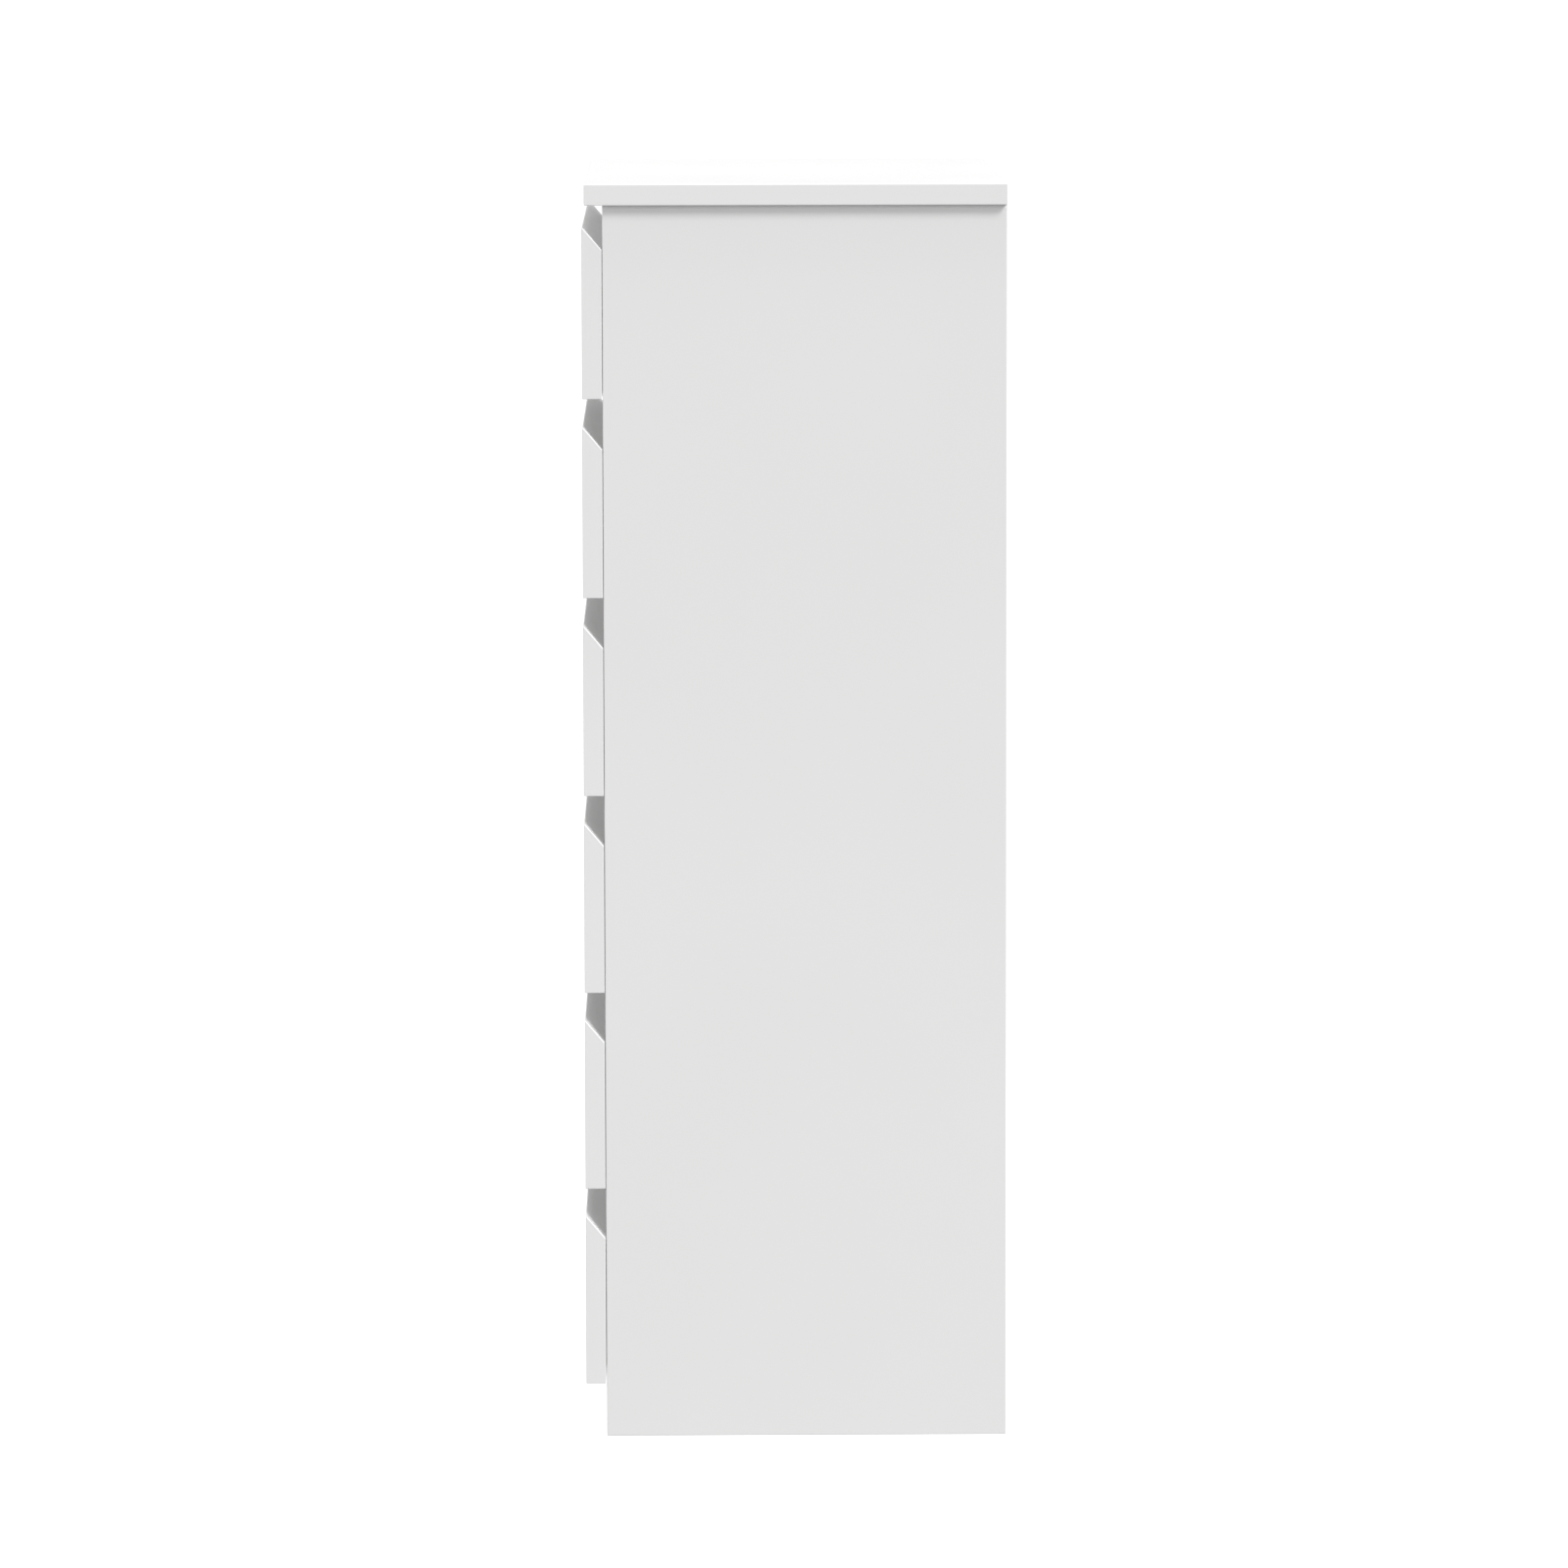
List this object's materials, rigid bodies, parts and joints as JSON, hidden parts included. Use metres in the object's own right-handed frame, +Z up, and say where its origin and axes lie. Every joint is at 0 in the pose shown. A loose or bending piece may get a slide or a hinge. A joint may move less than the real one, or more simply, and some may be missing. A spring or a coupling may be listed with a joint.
{
  "type": "chest of drawers",
  "caption": "Tall narrow white chest of drawers: handle-less fronts with bevelled grip edges over finger gaps, flat overhanging top, side panels to the floor.",
  "frame": {"origin": "on the floor, under the middle of the chest's overall box", "axes": "+X to the right as seen by someone facing the drawers' fronts, -Y out of the fronts, +Z up"},
  "size_m": [0.62, 0.4026, 1.2],
  "materials": {
    "white_board": "satin white lacquer on wood-based board",
    "drawer_board": "matt white foil on particle board",
    "thin_board": "matt white painted hardboard",
    "runner_steel": "bright zinc plated",
    "bearing_steel": "polished",
    "zinc": "zinc alloy, dull",
    "beech": "bare fluted beech"
  },
  "bodies": {
    "carcass": {"top_panel": "white_board", "side_panel_left": "white_board", "side_panel_right": "white_board", "bottom_panel": "white_board", "plinth_rail": "white_board", "top_rails": "white_board", "back_panel": "thin_board", "cabinet_runners": "runner_steel", "carcass_cam_locks": "zinc", "carcass_dowels": "beech", "carcass_screws": "zinc", "wall_bracket": "runner_steel"},
    "drawer_1": {"drawer_1_front": "white_board", "drawer_1_side_right": "drawer_board", "drawer_1_side_left": "drawer_board", "drawer_1_back": "drawer_board", "drawer_1_floor": "thin_board", "drawer_1_runners": "runner_steel", "drawer_1_fasteners": "zinc"},
    "ball_cages_1": {"drawer_1_ball_cages": "bearing_steel"},
    "drawer_2": {"drawer_2_front": "white_board", "drawer_2_side_right": "drawer_board", "drawer_2_side_left": "drawer_board", "drawer_2_back": "drawer_board", "drawer_2_floor": "thin_board", "drawer_2_runners": "runner_steel", "drawer_2_fasteners": "zinc"},
    "ball_cages_2": {"drawer_2_ball_cages": "bearing_steel"},
    "drawer_3": {"drawer_3_front": "white_board", "drawer_3_side_right": "drawer_board", "drawer_3_side_left": "drawer_board", "drawer_3_back": "drawer_board", "drawer_3_floor": "thin_board", "drawer_3_runners": "runner_steel", "drawer_3_fasteners": "zinc"},
    "ball_cages_3": {"drawer_3_ball_cages": "bearing_steel"},
    "drawer_4": {"drawer_4_front": "white_board", "drawer_4_side_right": "drawer_board", "drawer_4_side_left": "drawer_board", "drawer_4_back": "drawer_board", "drawer_4_floor": "thin_board", "drawer_4_runners": "runner_steel", "drawer_4_fasteners": "zinc"},
    "ball_cages_4": {"drawer_4_ball_cages": "bearing_steel"},
    "drawer_5": {"drawer_5_front": "white_board", "drawer_5_side_right": "drawer_board", "drawer_5_side_left": "drawer_board", "drawer_5_back": "drawer_board", "drawer_5_floor": "thin_board", "drawer_5_runners": "runner_steel", "drawer_5_fasteners": "zinc"},
    "ball_cages_5": {"drawer_5_ball_cages": "bearing_steel"},
    "drawer_6": {"drawer_6_front": "white_board", "drawer_6_side_right": "drawer_board", "drawer_6_side_left": "drawer_board", "drawer_6_back": "drawer_board", "drawer_6_floor": "thin_board", "drawer_6_runners": "runner_steel", "drawer_6_fasteners": "zinc"},
    "ball_cages_6": {"drawer_6_ball_cages": "bearing_steel"}
  },
  "joints": [
    {"name": "drawer_1_slide", "type": "slide", "parent": "carcass", "child": "drawer_1", "axis": [0, -1, 0], "range_m": [0, 0.26]},
    {"name": "ball_cages_1_slide", "type": "slide", "parent": "carcass", "child": "ball_cages_1", "axis": [0, -1, 0], "range_m": [0, 0.13]},
    {"name": "drawer_2_slide", "type": "slide", "parent": "carcass", "child": "drawer_2", "axis": [0, -1, 0], "range_m": [0, 0.26]},
    {"name": "ball_cages_2_slide", "type": "slide", "parent": "carcass", "child": "ball_cages_2", "axis": [0, -1, 0], "range_m": [0, 0.13]},
    {"name": "drawer_3_slide", "type": "slide", "parent": "carcass", "child": "drawer_3", "axis": [0, -1, 0], "range_m": [0, 0.26]},
    {"name": "ball_cages_3_slide", "type": "slide", "parent": "carcass", "child": "ball_cages_3", "axis": [0, -1, 0], "range_m": [0, 0.13]},
    {"name": "drawer_4_slide", "type": "slide", "parent": "carcass", "child": "drawer_4", "axis": [0, -1, 0], "range_m": [0, 0.26]},
    {"name": "ball_cages_4_slide", "type": "slide", "parent": "carcass", "child": "ball_cages_4", "axis": [0, -1, 0], "range_m": [0, 0.13]},
    {"name": "drawer_5_slide", "type": "slide", "parent": "carcass", "child": "drawer_5", "axis": [0, -1, 0], "range_m": [0, 0.26]},
    {"name": "ball_cages_5_slide", "type": "slide", "parent": "carcass", "child": "ball_cages_5", "axis": [0, -1, 0], "range_m": [0, 0.13]},
    {"name": "drawer_6_slide", "type": "slide", "parent": "carcass", "child": "drawer_6", "axis": [0, -1, 0], "range_m": [0, 0.26]},
    {"name": "ball_cages_6_slide", "type": "slide", "parent": "carcass", "child": "ball_cages_6", "axis": [0, -1, 0], "range_m": [0, 0.13]}
  ],
  "couplings": [
    {"joint": "ball_cages_1_slide", "follows": "drawer_1_slide", "ratio": 0.5},
    {"joint": "ball_cages_2_slide", "follows": "drawer_2_slide", "ratio": 0.5},
    {"joint": "ball_cages_3_slide", "follows": "drawer_3_slide", "ratio": 0.5},
    {"joint": "ball_cages_4_slide", "follows": "drawer_4_slide", "ratio": 0.5},
    {"joint": "ball_cages_5_slide", "follows": "drawer_5_slide", "ratio": 0.5},
    {"joint": "ball_cages_6_slide", "follows": "drawer_6_slide", "ratio": 0.5}
  ]
}
